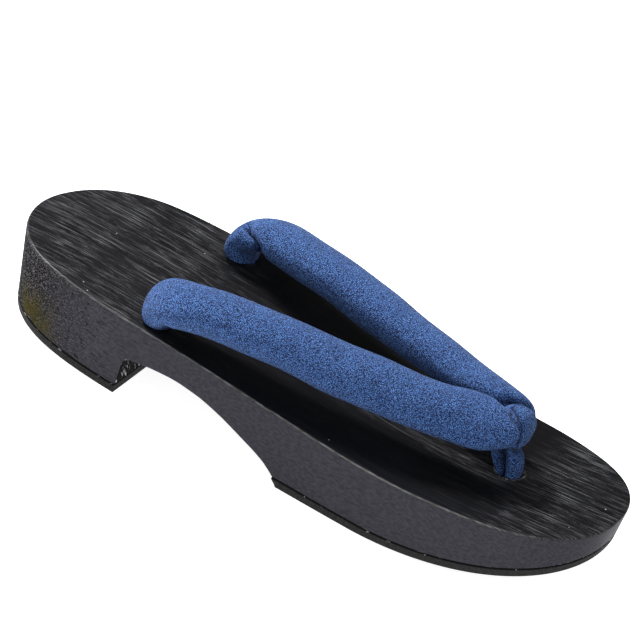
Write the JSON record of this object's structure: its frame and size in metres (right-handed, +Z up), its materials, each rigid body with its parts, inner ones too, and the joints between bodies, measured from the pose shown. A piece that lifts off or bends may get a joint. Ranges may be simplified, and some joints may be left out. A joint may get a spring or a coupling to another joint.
{
  "type": "geta sandal",
  "caption": "Wooden geta sandal with a carved arch and heel block, rubber soles, padded V straps and a front thong; for either foot.",
  "frame": {"origin": "middle of the plan on the floor, under the middle of the shoe's length and width", "axes": "+Z up, Y along the shoe with the toe at -Y and the heel at +Y, X across the shoe"},
  "size_m": [0.0992, 0.2696, 0.0606],
  "materials": {
    "black_wood": "black stained wood, satin, with a brushed grain",
    "black_rubber": "matte black rubber",
    "blue_crepe": "matte blue crepe over soft padding"
  },
  "bodies": {
    "root": {"wooden_base": "black_wood", "front_rubber_sole": "black_rubber", "heel_rubber_sole": "black_rubber", "side_straps": "blue_crepe", "front_thong": "blue_crepe"}
  },
  "joints": []
}
